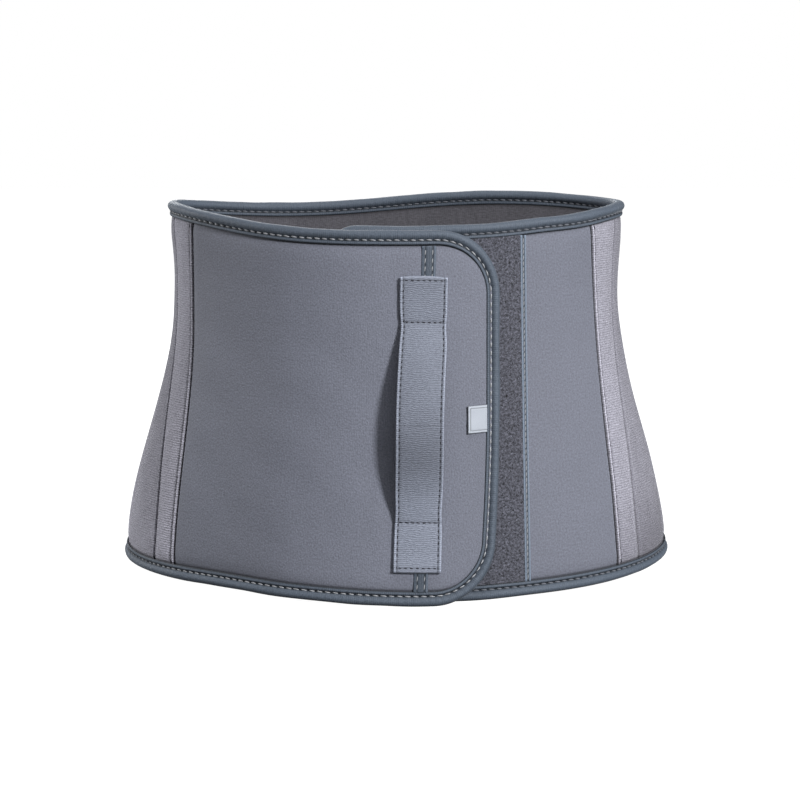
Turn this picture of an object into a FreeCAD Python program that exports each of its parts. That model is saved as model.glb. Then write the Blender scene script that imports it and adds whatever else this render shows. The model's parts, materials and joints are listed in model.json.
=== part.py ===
"""Lumbar support belt, closed and standing on its lower rim.

Millimetres. +Z is up, -Y is the wearer's front and +X is to the right of somebody facing the
belt. The origin is the middle of the floor rectangle that the belt stands in.

The belt is a waisted tube of three layers (cover, foam core, lining) cut into five panels that
fold on their seams: back, left side, flap, right side and underlap. The front half of the tube
is elliptical, the back half is a flatter ellipse of the same width, and the flap is a larger
ellipse, so that it lies over the underlap.
"""
import FreeCAD
import Part
import os

doc = FreeCAD.newDocument("lumbar_support_belt")
sheet = doc.addObject("Spreadsheet::Sheet", "sizes")

# alias: (value in mm, or a plain ratio or angle; what it is)
SIZES = {
    "centre_shift": (21.51, "moves the tube back, so that the origin is the middle of its box"),
    "belt_height": (241.5, "height of the back and the sides"),
    "front_height": (228.6, "height of the flap's upper edge at its lowest point"),
    "front_edge_radius": (690, "radius of the dip in the front's upper edge"),
    "underlap_rise": (2, "how far the underlap's upper edge stands above the flap's"),
    "level_0": (0, "height of each section of the tube"),
    "level_1": (50, ""),
    "level_2": (100, ""),
    "level_3": (150, ""),
    "level_4": (200, ""),
    "level_5": (243, "the top section, just above the rim"),
    "half_width_0": (185, "half width of each section"),
    "half_width_1": (177.8, ""),
    "half_width_2": (163.8, ""),
    "half_width_3": (151.4, ""),
    "half_width_4": (148.4, ""),
    "half_width_5": (151, ""),
    "depth_0": (126, "depth of the front half of each section"),
    "depth_1": (116.3, ""),
    "depth_2": (107.2, ""),
    "depth_3": (99.4, ""),
    "depth_4": (92.7, ""),
    "depth_5": (87, ""),
    "back_ratio": (0.73, "depth of the back half over the depth of the front half"),
    "flap_lift": (9, "how far the flap lies in front of the underlap"),
    "flap_narrowing": (3, "how much smaller the flap's half width is than the tube's"),
    "seam_gap": (0.15, "half of the gap at each seam"),
    "left_front_seam_low": (-144.5, "x of the flap's seam at the floor and at the rim"),
    "left_front_seam_high": (-130.5, ""),
    "right_front_seam_low": (144.5, ""),
    "right_front_seam_high": (124.5, ""),
    "back_seam_low": (131, "distance of the two back seams from the middle"),
    "back_seam_high": (107, ""),
    "strip_seam_a_low": (-64, "y of the seams between the three velour strips of a side"),
    "strip_seam_a_high": (-6, ""),
    "strip_seam_b_low": (-22, ""),
    "strip_seam_b_high": (16, ""),
    "flap_end_low": (61.8, "x of the flap's free edge at the floor and at the rim"),
    "flap_end_high": (66.3, ""),
    "flap_corner_low": (40, "radius of the flap's lower corner"),
    "flap_corner_high": (36, "radius of the flap's upper corner"),
    "underlap_end": (-45, "x of the underlap's free edge"),
    "underlap_corner": (20, "radius of the underlap's corners"),
    "binding_width": (8.5, "visible width of the edge binding"),
    "binding_wrap": (1.4, "thickness of the binding over the edge"),
    "layer_inset": (1.6, "distance of the layers from the edge"),
    "stay_width": (8, "width of a steel stay"),
    "slot_width": (9, "width of its slot in the core"),
    "stay_inset": (11, "distance of a stay's ends from the rims"),
    "slot_inset": (10.5, "distance of a slot's ends from the rims"),
    "stay_inner_x": (21, "x of the inner and outer pairs of stays in the back"),
    "stay_outer_x": (63, ""),
    "channel_width": (13, "width of the sewn channel over a back stay"),
    "side_stay_low": (-43, "y of the side stays at the floor and at the rim"),
    "side_stay_high": (5, ""),
    "tape_low": (14.2, "x of the flap's stay tape at the floor and at the rim"),
    "tape_high": (20.5, ""),
    "tape_width": (9.2, ""),
    "loop_start": (2, "x of the loop strip's covered and visible edges"),
    "loop_end": (78.6, ""),
    "edge_tape_end": (82.4, "x of the far edge of the tape sewn over the loop strip's edge"),
    "hook_start": (22, "x of the hook strip's edges, inside the flap"),
    "hook_end": (48.5, ""),
    "hook_margin": (26, "distance of the hook strip from the flap's upper and lower edges"),
    "trim_margin": (8.9, "distance of the sewn strips from the rims"),
    "strap_left": (0.3, "x of the handle's left edge"),
    "strap_width": (30, "width of the handle webbing"),
    "strap_thickness": (1.6, "thickness of the handle webbing"),
    "strap_top": (200.5, "height of the handle's upper end"),
    "strap_upper_seam": (171, "height of the seam above the free span"),
    "strap_upper_joint": (160, "height where the free span starts"),
    "strap_lower_joint": (65, ""),
    "strap_lower_seam": (54, ""),
    "strap_bottom": (22, ""),
    "strap_gap": (0.5, "gap between the free span and the sewn ends"),
    "strap_radius": (152.3, "radius of the free span's bow"),
    "strap_centre_y": (21.05, "centre of that bow"),
    "strap_centre_z": (90.1, ""),
    "strap_top_y": (-104.2, "y of the webbing's outer face at its ends and its two seams"),
    "strap_upper_seam_y": (-108, ""),
    "strap_lower_seam_y": (-126.9, ""),
    "strap_bottom_y": (-134.0, ""),
    "strap_lean": (1.5, "degrees that the handle leans, seen from the front"),
    "label_left": (44.6, "edges of the side label"),
    "label_right": (55.1, ""),
    "label_low": (104, ""),
    "label_high": (121, ""),
}

# layer: (outer offset, inner offset) from the tube's outer surface
LAYERS = {
    "cover": (0, -1.0),
    "core": (-1.2, -3.2),
    "lining": (-3.4, -4.2),
    "band": (1.1, -5.3),
    "bite": (0.2, -4.4),
    "stay": (-1.9, -2.5),
    "slot": (-1.6, -2.8),
    "sewn": (0.2, 0.8),
    "hook": (-4.4, -5.6),
    "label": (0.6, 1.6),
}
LEVELS = 6
REACH = 400  # longer than any part of the belt
SIDES_FROM = 60  # the side strips lie further out than this x
FRONT_FROM = -10  # the front panels lie wholly in front of this y
CORNER_SEARCH = 12  # how far a leaning free end may stand from its nominal x
TINY = 1e-3
ABOVE = "(sizes.belt_height + 20)"

for row, (alias, (value, meaning)) in enumerate(SIZES.items(), start=1):
    sheet.set(f"A{row}", alias)
    sheet.set(f"B{row}", str(value))
    sheet.setAlias(f"B{row}", alias)
    sheet.set(f"C{row}", meaning)
doc.recompute()

made = {}
subparts = []


def add(kind, name, bound=None, **values):
    """A document object, its plain values and its values bound to the sheet."""
    thing = doc.addObject(kind, name)
    for key, value in values.items():
        setattr(thing, key, value)
    for path, expression in (bound or {}).items():
        thing.setExpression(path, expression)
    return thing


def common(name, first, second):
    return add("Part::Common", name, Base=first, Tool=second)


def cut(name, first, second):
    return add("Part::Cut", name, Base=first, Tool=second)


def fuse(name, first, second):
    return add("Part::Fuse", name, Base=first, Tool=second)


def subpart(label, thing):
    """Names a finished piece, and moves it into the belt's frame."""
    thing.Label = label
    thing.setExpression("Placement.Base.y", "sizes.centre_shift")
    subparts.append(thing)
    return thing


# ------------------------------------------------------------------ forms and layers
def arc(level, start, end, narrowing, depth, offset):
    """An arc of an ellipse at one level of the tube, moved outward by the offset."""
    return add("Part::Ellipse", "ring_arc", Angle1=start, Angle2=end, bound={
        "MajorRadius": f"sizes.half_width_{level} - {narrowing} + ({offset})",
        "MinorRadius": f"sizes.depth_{level} {depth} + ({offset})",
        "Placement.Base.z": f"sizes.level_{level}"})


def form(family, offset):
    """The solid inside a surface of the tube or the flap, made once for each offset."""
    key = (family, offset)
    if key not in made:
        rings = []
        for level in range(LEVELS):
            if family == "flap":
                rings.append(arc(level, 0, 360, "sizes.flap_narrowing", "+ sizes.flap_lift",
                                 offset))
            else:
                halves = [arc(level, 0, 180, "0", "* sizes.back_ratio", offset),
                          arc(level, 180, 360, "0", "", offset)]
                rings.append(add("Part::Compound", "ring", Links=halves))
        made[key] = add("Part::Loft", f"{family}_form", Sections=rings, Solid=True)
    return made[key]


def shell(family, layer):
    """A whole layer of the tube or of the flap."""
    key = (family, layer)
    if key not in made:
        offsets = LAYERS[layer]
        made[key] = cut(f"{layer}_shell", form(family, max(offsets)), form(family, min(offsets)))
    return made[key]


# ------------------------------------------------------------------ cutters
def seam(name, height):
    """The place of a straight seam at a height, as an expression."""
    low, high = f"sizes.{name}_low", f"sizes.{name}_high"
    return f"({low} + ({high} - {low}) * ({height}) / sizes.belt_height)"


def wedge(name, x_low, x_high, y_low, y_high, z_low="0", z_high="sizes.belt_height"):
    """A slab between two heights whose four sides may lean: each side is a function of height
    or a fixed expression."""
    def at(side, height):
        return side(height) if callable(side) else str(side)
    return add("Part::Wedge", name, bound={
        "Xmin": at(x_low, z_low), "Xmax": at(x_high, z_low),
        "X2min": at(x_low, z_high), "X2max": at(x_high, z_high),
        "Zmin": f"-({at(y_high, z_low)})", "Zmax": f"-({at(y_low, z_low)})",
        "Z2min": f"-({at(y_high, z_high)})", "Z2max": f"-({at(y_low, z_high)})",
        "Ymin": str(z_low), "Ymax": str(z_high)},
        Placement=FreeCAD.Placement(FreeCAD.Vector(),
                                    FreeCAD.Rotation(FreeCAD.Vector(1, 0, 0), 90)))


def strip(seam_name, sign, width):
    """The two sides of a narrow strip centred on a leaning line."""
    def side(step):
        return lambda height: f"({sign} * {seam(seam_name, height)} {step} {width} / 2)"
    return side("-"), side("+")


def beside(seam_name, sign=1, step="+"):
    """One side of a joint seam, half a gap away from it."""
    return lambda height: f"({sign} * {seam(seam_name, height)} {step} sizes.seam_gap)"


def layer_heights():
    return "sizes.layer_inset", "(sizes.belt_height - sizes.layer_inset)"


def side_region(side, z_low, z_high):
    """All of a side panel: from its front seam round to its back seam."""
    seam_name = f"{side}_front_seam"
    if side == "left":
        front = wedge("side_front", -REACH, beside(seam_name, 1, "-"), -REACH, 0, z_low, z_high)
        rear = wedge("side_rear", -REACH, beside("back_seam", -1, "-"), 0, REACH, z_low, z_high)
    else:
        front = wedge("side_front", beside(seam_name), REACH, -REACH, 0, z_low, z_high)
        rear = wedge("side_rear", beside("back_seam"), REACH, 0, REACH, z_low, z_high)
    return fuse("side_region", front, rear)


def back_region(z_low, z_high):
    return wedge("back_region", beside("back_seam", -1), beside("back_seam", 1, "-"),
                 0, REACH, z_low, z_high)


# ------------------------------------------------------------------ edge bindings of the tube
def rim_bindings():
    """The U-shaped binding round both rims of the whole tube, still in one ring each."""
    slab = wedge("binding_middle", -REACH, REACH, -REACH, REACH, "sizes.binding_width",
                 "(sizes.belt_height - sizes.binding_width)")
    inside = wedge("binding_inside", -REACH, REACH, -REACH, REACH, "sizes.binding_wrap",
                   "(sizes.belt_height - sizes.binding_wrap)")
    bite = common("binding_bite", shell("tube", "bite"), inside)
    return cut("rims", cut("rims_rough", shell("tube", "band"), slab), bite)


rims = rim_bindings()
MIDDLE = "sizes.belt_height / 2"


# ------------------------------------------------------------------ back
def back():
    low, high = layer_heights()
    region = back_region(low, high)
    slots = None
    places = [("1", -1, "outer"), ("2", -1, "inner"), ("3", 1, "inner"), ("4", 1, "outer")]
    for number, sign, pair in places:
        x = f"{sign} * sizes.stay_{pair}_x"
        for layer, width, inset in (("slot", "slot_width", "slot_inset"),
                                    ("stay", "stay_width", "stay_inset")):
            block = wedge(f"{layer}_block", f"({x} - sizes.{width} / 2)",
                          f"({x} + sizes.{width} / 2)", 0, REACH, f"sizes.{inset}",
                          f"(sizes.belt_height - sizes.{inset})")
            piece = common(f"back_{layer}_{number}", shell("tube", layer), block)
            if layer == "stay":
                subpart(f"back_stay_{number}", piece)
            else:
                slots = piece if slots is None else fuse("back_slots", slots, piece)
        channel = wedge("channel_block", f"({x} - sizes.channel_width / 2)",
                        f"({x} + sizes.channel_width / 2)", 0, REACH, "sizes.trim_margin",
                        "(sizes.belt_height - sizes.trim_margin)")
        subpart(f"back_stay_channel_{number}",
                common("back_channel", shell("tube", "sewn"), channel))
    subpart("back_cover", common("back_cover", shell("tube", "cover"), region))
    subpart("back_core", cut("back_core", common("back_core_rough", shell("tube", "core"),
                                                 region), slots))
    subpart("back_lining", common("back_lining", shell("tube", "lining"), region))
    subpart("back_top_binding", common("back_top_binding", rims,
                                       back_region(MIDDLE, "sizes.belt_height")))
    subpart("back_bottom_binding", common("back_bottom_binding", rims, back_region("0", MIDDLE)))


# ------------------------------------------------------------------ sides
def side_panel(side):
    sign = -1 if side == "left" else 1
    low, high = layer_heights()

    def across(inner, y_low, y_high, z_low=low, z_high=high):
        """A wedge on this side of the belt, from an inner x outward, between two seams."""
        outer = sign * REACH
        if sign < 0:
            return wedge("side_block", outer, inner, y_low, y_high, z_low, z_high)
        return wedge("side_block", inner, outer, y_low, y_high, z_low, z_high)

    gap = "-" if sign < 0 else "+"
    far_in = str(sign * SIDES_FROM)
    front_seam = beside(f"{side}_front_seam", 1, gap)
    rear_seam = beside("back_seam", sign, gap)
    strips = {
        "front": (front_seam, -REACH, beside("strip_seam_a", 1, "-")),
        "middle": (far_in, beside("strip_seam_a"), beside("strip_seam_b", 1, "-")),
        "rear": (rear_seam, beside("strip_seam_b"), REACH),
    }
    for name, (inner, y_low, y_high) in strips.items():
        subpart(f"{side}_{name}_strip",
                common("side_strip", shell("tube", "cover"), across(inner, y_low, y_high)))
    region = side_region(side, low, high)
    slot_low, slot_high = strip("side_stay", 1, "sizes.slot_width")
    stay_low, stay_high = strip("side_stay", 1, "sizes.stay_width")
    slot = common("side_slot", shell("tube", "slot"),
                  across(far_in, slot_low, slot_high, "sizes.slot_inset",
                         "(sizes.belt_height - sizes.slot_inset)"))
    subpart(f"{side}_side_stay",
            common("side_stay", shell("tube", "stay"),
                   across(far_in, stay_low, stay_high, "sizes.stay_inset",
                          "(sizes.belt_height - sizes.stay_inset)")))
    subpart(f"{side}_side_core",
            cut("side_core", common("side_core_rough", shell("tube", "core"), region), slot))
    subpart(f"{side}_side_lining", common("side_lining", shell("tube", "lining"), region))
    subpart(f"{side}_side_top_binding",
            common("side_top_binding", rims, side_region(side, MIDDLE, "sizes.belt_height")))
    subpart(f"{side}_side_bottom_binding",
            common("side_bottom_binding", rims, side_region(side, "0", MIDDLE)))


# ------------------------------------------------------------------ outlines of the front panels
def corner_edges(thing, end_x):
    """The numbers of the two edges along Y at the free end of a blank, lower one first."""
    found = []
    for number, edge in enumerate(thing.Shape.Edges, start=1):
        box = edge.BoundBox
        along_y = box.XLength < TINY and box.ZLength < TINY
        if along_y and abs(box.XMin - end_x) < CORNER_SEARCH:
            found.append((box.ZMin, number))
    found.sort()
    return [found[0][1], found[-1][1]]


def value(alias):
    return SIZES[alias][0]


def front_blank(panel, inset):
    """The outline of the flap or the underlap, as a slab in front of the tube: a dipped upper
    edge, a straight lower edge and a free end with two round corners, all moved in by inset."""
    key = ("blank", panel, inset)
    if key in made:
        return made[key]
    rise = "sizes.underlap_rise" if panel == "underlap" else "0"
    if panel == "flap":
        sides = (beside("left_front_seam"), lambda z: f"({seam('flap_end', z)} - {inset})")
        end_x, radii = value("flap_end_low"), (value("flap_corner_low"), value("flap_corner_high"))
    else:
        sides = (f"(sizes.underlap_end + {inset})", beside("right_front_seam", 1, "-"))
        end_x, radii = value("underlap_end"), (value("underlap_corner"),) * 2
    slab = wedge("blank_slab", *sides, -REACH, FRONT_FROM, str(inset), ABOVE)
    dip = add("Part::Cylinder", "blank_dip", Height=2 * REACH, bound={
        "Radius": f"sizes.front_edge_radius + {inset}",
        "Placement.Base.z": f"sizes.front_height + {rise} + sizes.front_edge_radius"},
        Placement=FreeCAD.Placement(FreeCAD.Vector(0, REACH, 0),
                                    FreeCAD.Rotation(FreeCAD.Vector(1, 0, 0), 90)))
    rough = cut("blank_rough", slab, dip)
    doc.recompute()
    low_edge, high_edge = corner_edges(rough, end_x)
    blank = add("Part::Fillet", "blank", Base=rough)
    blank.Edges = [(low_edge, radii[0] - inset, radii[0] - inset),
                   (high_edge, radii[1] - inset, radii[1] - inset)]
    made[key] = blank
    return blank


def front_binding(panel, family):
    """The U-shaped binding round a front panel's lower edge, free end and upper edge."""
    whole = common("binding_whole", shell(family, "band"), front_blank(panel, 0))
    open_middle = cut("binding_open", whole, front_blank(panel, value("binding_width")))
    bite = common("binding_bite", shell(family, "bite"),
                  front_blank(panel, value("binding_wrap")))
    return cut(f"{panel}_binding", open_middle, bite)


# ------------------------------------------------------------------ flap
def flap():
    blank = front_blank("flap", value("layer_inset"))
    tape_left, tape_right = strip("tape", 1, "sizes.tape_width")
    slot_left, slot_right = strip("tape", 1, "sizes.slot_width")
    stay_left, stay_right = strip("tape", 1, "sizes.stay_width")
    stay_top = "(sizes.front_height - sizes.stay_inset)"
    slot_top = "(sizes.front_height - sizes.slot_inset)"
    subpart("flap_cover", common("flap_cover", shell("flap", "cover"), blank))
    slot = common("flap_slot", shell("flap", "slot"),
                  wedge("slot_block", slot_left, slot_right, -REACH, 0, "sizes.slot_inset",
                        slot_top))
    subpart("flap_core", cut("flap_core", common("flap_core_rough", shell("flap", "core"),
                                                 blank), slot))
    subpart("flap_stay", common("flap_stay", shell("flap", "stay"),
                                wedge("stay_block", stay_left, stay_right, -REACH, 0,
                                      "sizes.stay_inset", stay_top)))
    subpart("flap_lining", common("flap_lining", shell("flap", "lining"), blank))
    subpart("flap_binding", front_binding("flap", "flap"))
    subpart("flap_stay_tape", common("flap_stay_tape", shell("flap", "sewn"),
                                     wedge("tape_block", tape_left, tape_right, -REACH, 0,
                                           "sizes.trim_margin",
                                           "(sizes.front_height - sizes.trim_margin)")))
    subpart("flap_hook_strip", common("flap_hook_strip", shell("flap", "hook"),
                                      wedge("hook_block", "sizes.hook_start", "sizes.hook_end",
                                            -REACH, 0, "sizes.hook_margin",
                                            "(sizes.front_height - sizes.hook_margin)")))


# ------------------------------------------------------------------ underlap
def underlap():
    blank = front_blank("underlap", value("layer_inset"))
    low = "sizes.trim_margin"
    high = "(sizes.front_height + sizes.underlap_rise - sizes.trim_margin)"
    for layer in ("cover", "core", "lining"):
        subpart(f"underlap_{layer}", common(f"underlap_{layer}", shell("tube", layer), blank))
    subpart("underlap_binding", front_binding("underlap", "tube"))
    subpart("underlap_loop_strip",
            common("underlap_loop_strip", shell("tube", "sewn"),
                   wedge("loop_block", "sizes.loop_start", "sizes.loop_end", -REACH, 0,
                         low, high)))
    subpart("underlap_edge_tape",
            common("underlap_edge_tape", shell("tube", "sewn"),
                   wedge("edge_block", "(sizes.loop_end + 0.2)", "sizes.edge_tape_end", -REACH,
                         0, low, high)))


# ------------------------------------------------------------------ handle and label
def strap_plate(z_low, z_high, y_low, y_high):
    """A sewn end of the webbing: a flat plate that leans with the flap."""
    def outer(height):
        return f"sizes.{y_low if height == z_low else y_high}"
    return wedge("strap_plate", "sizes.strap_left", "(sizes.strap_left + sizes.strap_width)",
                 outer, lambda height: f"({outer(height)} + sizes.strap_thickness)",
                 z_low, z_high)


def strap_bow():
    """The bowed webbing between the two sewn ends, as a cylinder shell along X."""
    def drum(less):
        return add("Part::Cylinder", "strap_drum", bound={
            "Radius": f"sizes.strap_radius - {less}",
            "Height": "sizes.strap_width",
            "Placement.Base.x": "sizes.strap_left",
            "Placement.Base.y": "sizes.strap_centre_y",
            "Placement.Base.z": "sizes.strap_centre_z"},
            Placement=FreeCAD.Placement(FreeCAD.Vector(),
                                        FreeCAD.Rotation(FreeCAD.Vector(0, 1, 0), 90)))
    return cut("strap_bow", drum("0"), drum("sizes.strap_thickness"))


def lean(thing):
    """Turns a piece of the handle about the middle of its free span."""
    middle_x = value("strap_left") + value("strap_width") / 2
    middle_z = (value("strap_upper_seam") + value("strap_lower_seam")) / 2
    turn = FreeCAD.Rotation(FreeCAD.Vector(0, 1, 0), value("strap_lean"))
    thing.Placement = FreeCAD.Placement(FreeCAD.Vector(), turn,
                                        FreeCAD.Vector(middle_x, 0, middle_z))
    return thing


def handle():
    bow = strap_bow()
    parts = {
        "upper": ("(sizes.strap_upper_joint + sizes.strap_gap)", "sizes.strap_upper_seam"),
        "span": ("sizes.strap_lower_joint", "sizes.strap_upper_joint"),
        "lower": ("sizes.strap_lower_seam", "(sizes.strap_lower_joint - sizes.strap_gap)"),
    }
    bows = {}
    for name, (z_low, z_high) in parts.items():
        block = wedge("strap_block", -REACH, REACH, -REACH, 0, z_low, z_high)
        bows[name] = common(f"strap_{name}", bow, block)
    upper = strap_plate("sizes.strap_upper_seam", "sizes.strap_top", "strap_upper_seam_y",
                        "strap_top_y")
    lower = strap_plate("sizes.strap_bottom", "sizes.strap_lower_seam", "strap_bottom_y",
                        "strap_lower_seam_y")
    subpart("handle_upper_end", lean(fuse("handle_upper_end", upper, bows["upper"])))
    subpart("handle_span", lean(bows["span"]))
    subpart("handle_lower_end", lean(fuse("handle_lower_end", lower, bows["lower"])))


def label():
    subpart("side_label", common("side_label", shell("flap", "label"),
                                 wedge("label_block", "sizes.label_left", "sizes.label_right",
                                       -REACH, 0, "sizes.label_low", "sizes.label_high")))


back()
side_panel("left")
side_panel("right")
flap()
underlap()
handle()
label()
doc.recompute()

# ------------------------------------------------------------------ checks and files
for thing in doc.Objects:
    for state in ("Invalid", "Error"):
        if state in thing.State:
            raise RuntimeError(f"{thing.Name} is {state}")
for piece in subparts:
    if piece.Shape.isNull() or not piece.Shape.isValid() or piece.Shape.Volume <= 0:
        raise RuntimeError(f"{piece.Label} has no valid shape")

os.makedirs("parts", exist_ok=True)
for piece in subparts:
    piece.Shape.exportStep(f"parts/{piece.Label}.step")
    box = piece.Shape.BoundBox
    print(f"{piece.Label}: {len(piece.Shape.Solids)} solid(s), {piece.Shape.Volume:.0f} mm3, "
          f"x {box.XMin:.1f}..{box.XMax:.1f} y {box.YMin:.1f}..{box.YMax:.1f} "
          f"z {box.ZMin:.1f}..{box.ZMax:.1f}")
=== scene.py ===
"""Looks of the lumbar support belt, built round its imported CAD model.

Lengths are millimetres until a mesh is made, which turns them into metres. A place on the belt is
an angle round the tube and a height: angle 0 is the far left (-X), a quarter turn is the front, a
half turn is the far right and three quarters is the back. k is the distance out from the fabric's
outer surface, and e is the distance in from an edge.
"""

import json
import math

import bpy
import numpy as np
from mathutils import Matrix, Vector


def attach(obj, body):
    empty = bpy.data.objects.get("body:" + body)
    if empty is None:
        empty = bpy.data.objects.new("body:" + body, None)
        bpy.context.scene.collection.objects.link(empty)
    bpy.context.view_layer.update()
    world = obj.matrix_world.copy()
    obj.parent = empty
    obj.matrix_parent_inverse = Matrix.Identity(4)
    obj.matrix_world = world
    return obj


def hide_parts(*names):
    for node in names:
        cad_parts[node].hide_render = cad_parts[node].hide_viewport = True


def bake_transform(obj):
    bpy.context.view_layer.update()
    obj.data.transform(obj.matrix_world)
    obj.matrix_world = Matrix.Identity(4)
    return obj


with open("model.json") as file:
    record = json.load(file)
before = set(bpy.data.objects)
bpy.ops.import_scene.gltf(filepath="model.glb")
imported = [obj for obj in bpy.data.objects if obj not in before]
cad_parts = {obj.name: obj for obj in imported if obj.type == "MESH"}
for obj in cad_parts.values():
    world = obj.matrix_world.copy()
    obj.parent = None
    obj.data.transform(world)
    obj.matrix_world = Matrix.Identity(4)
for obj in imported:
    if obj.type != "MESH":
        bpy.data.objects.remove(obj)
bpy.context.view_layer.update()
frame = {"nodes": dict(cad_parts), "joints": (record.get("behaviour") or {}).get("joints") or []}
bpy.context.scene.view_settings.view_transform = "Standard"
MM = 0.001
PI = math.pi
chance = np.random.default_rng(7)

# ------ driving dimensions
CENTRE_Y = 21.51
LEVELS = (0, 50, 100, 150, 200, 243)
HALF_WIDTHS = (184.6, 177.4, 163.4, 150.8, 147.6, 150.4)
DEPTHS = (126, 116.3, 107.2, 99.4, 92.7, 87)
BACK_RATIO = 0.73
FLAP_LIFT, FLAP_NARROWING = 9, 3
LIFT_FROM, LIFT_TO = -128, -66
HEIGHT = 243
FRONT_HEIGHT = 229.2
SIDE_RISE = 11.4
UNDERLAP_RISE = 2
FLAP_EDGE = 64.4
UNDERLAP_EDGE = -45
CORNERS = {"flap": (39, 40), "underlap": (20, 20)}
TOWARD_END = {"flap": 1, "underlap": -1}  # the way from a panel to its free end: 1 is right
PANEL_INSET = 2.6  # how far a panel's edge lies inside the folded binding
BINDING_EDGE = 9.0
MIDDLE_K = -2.1
COVER_BACK_K = -1.5
LINING_OUT_K, LINING_IN_K = -3.3, -4.1
STITCH_PITCH = 5.0
STITCH_SLANT = 0.1
LINING_LAP, END_LAP = 0.3, 0.4
MID_HEIGHT = 120.0
TYPICAL_RADIUS = 150  # turns a short distance round the tube into an angle

half_width = np.polynomial.Polynomial.fit(LEVELS, HALF_WIDTHS, 5)
depth = np.polynomial.Polynomial.fit(LEVELS, DEPTHS, 5)


def smooth(t):
    t = np.clip(t, 0, 1)
    return t * t * (3 - 2 * t)


def bell(x, middle, width):
    return np.exp(-(((x - middle) / width) ** 2))


def unit(vectors):
    return vectors / np.linalg.norm(vectors, axis=-1, keepdims=True)


def run_along(points):
    """The distance along a line to each of its points."""
    return np.concatenate([[0], np.cumsum(np.linalg.norm(np.diff(points, axis=0), axis=1))])


# ------ the belt's surface
def skin(family, angle, z):
    """Points of the outer surface of the tube, or of the flap that stands off its front."""
    a, b = half_width(z), depth(z)
    x = -a * np.cos(angle)
    y = -np.where(np.sin(angle) >= 0, b, BACK_RATIO * b) * np.sin(angle)
    if family == "flap":
        inside = np.clip(1 - (x / (a - FLAP_NARROWING)) ** 2, 0, 1)
        lifted = -(b + FLAP_LIFT) * np.sqrt(inside)
        y = y + (lifted - y) * smooth((x - LIFT_FROM) / (LIFT_TO - LIFT_FROM))
    return np.stack(np.broadcast_arrays(x, y + CENTRE_Y, z), -1)


def slopes(family, angle, z):
    """How the surface runs round and up at a place, per radian and per millimetre."""
    turn, rise = 1e-3, 0.2
    around = skin(family, angle + turn, z) - skin(family, angle - turn, z)
    up = skin(family, angle, z + rise) - skin(family, angle, z - rise)
    return around / (2 * turn), up / (2 * rise)


def normal(family, angle, z):
    return unit(np.cross(*slopes(family, angle, z)))


def place(family, angle, z, k):
    """Points at a distance k out from the surface."""
    return skin(family, angle, z) + np.asarray(k)[..., None] * normal(family, angle, z)


def front_angle(x, z):
    """Angle of a place on the front that is x to the right of the middle."""
    return np.arccos(np.clip(-x / half_width(z), -1, 1))


def side_angle(y, z):
    """Angle of a place on the left side that is y in front of (-) or behind the tube's middle."""
    b = depth(z)
    return np.arcsin(-y / np.where(y < 0, b, BACK_RATIO * b))


# ------ seams, as angles at a height
def left_1(z):
    return front_angle(-131.8 - 12.7 * (1 - smooth(z / 165)), z)


def left_2(z):
    return side_angle(-62 + 44 * smooth(z / 200), z)


def left_3(z):
    return side_angle(-22 + 38 * z / HEIGHT, z)


def left_4(z):
    return -front_angle(-131 + 24 * z / HEIGHT, z)


def right_1(z):
    waist = 2 * np.sin(PI * np.clip((z - 60) / 183, 0, 1))
    return front_angle(144.5 - 20 * z / HEIGHT - waist, z)


def right_2(z):
    return PI - side_angle(-62 + 37 * smooth(z / 195), z)


def right_3(z):
    return PI - left_3(z)


def right_4(z):
    return PI - left_4(z)


def at_x(x):
    """A straight line on the front panels, as a seam function: x may be a function of height."""
    return lambda z: front_angle(x(z) if callable(x) else x + 0 * z, z)


def flap_edge_x(z):
    return FLAP_EDGE - 5.6 * np.clip(1 - z / 125, 0, 1) ** 2


# ------ rims, as heights at an angle
def top_rim(angle):
    u = -np.cos(angle)
    front = FRONT_HEIGHT + SIDE_RISE * (1 - (1 - np.abs(u) ** 3) ** 1.5)
    back = FRONT_HEIGHT + SIDE_RISE - 1.0 * np.sin(angle) ** 2 + 4.2 * np.sin(PI * u)
    return np.where(np.sin(angle) >= 0, front, back)


def low_rim(angle):
    u = -np.cos(angle)
    sway = 0.2 + 0.9 * u + 2.4 * u * u
    front = sway + 1.2 * np.sin(PI * u) ** 2 - 1.6 * np.sin(PI * u)
    return np.where(np.sin(angle) >= 0, front, sway)


def underlap_top(angle):
    x = -half_width(FRONT_HEIGHT) * np.cos(angle)
    return top_rim(angle) + UNDERLAP_RISE * smooth((125 - x) / 40)


def rim_of(panel, upper):
    if upper:
        return top_rim if panel == "flap" else underlap_top
    return low_rim


def free_end_x(panel, z):
    return flap_edge_x(z) if panel == "flap" else UNDERLAP_EDGE + 0 * z


def seam_end(seam, rim):
    """The angle at which a seam meets a rim."""
    z = 0.0 if rim is low_rim else float(HEIGHT)
    for _ in range(20):
        z = float(rim(seam(z)))
    return float(seam(z))


def corner_centre(panel, upper, inset=0):
    """Middle of a front panel's round corner, and its radius, for an outline moved in by inset."""
    radius = CORNERS[panel][1 if upper else 0]
    x = z = 0.0
    for _ in range(20):
        x = free_end_x(panel, z) - TOWARD_END[panel] * radius
        height = rim_of(panel, upper)(front_angle(x, z))
        z = height - radius if upper else height + radius
    return x, z, radius - inset


def panel_rims(panel, inset):
    """Lower and upper limits of a front panel at an angle, moved in by inset, corners and all."""
    def limit(upper):
        x_mid, z_mid, radius = corner_centre(panel, upper, inset)
        sign = 1 if upper else -1

        def height(angle):
            x = -half_width(z_mid) * np.cos(angle)
            past = np.clip(TOWARD_END[panel] * (x - x_mid), 0, radius)
            drop = radius - np.sqrt(radius ** 2 - past ** 2)
            return rim_of(panel, upper)(angle) - sign * (inset + drop)
        return height
    return limit(False), limit(True)


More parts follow.
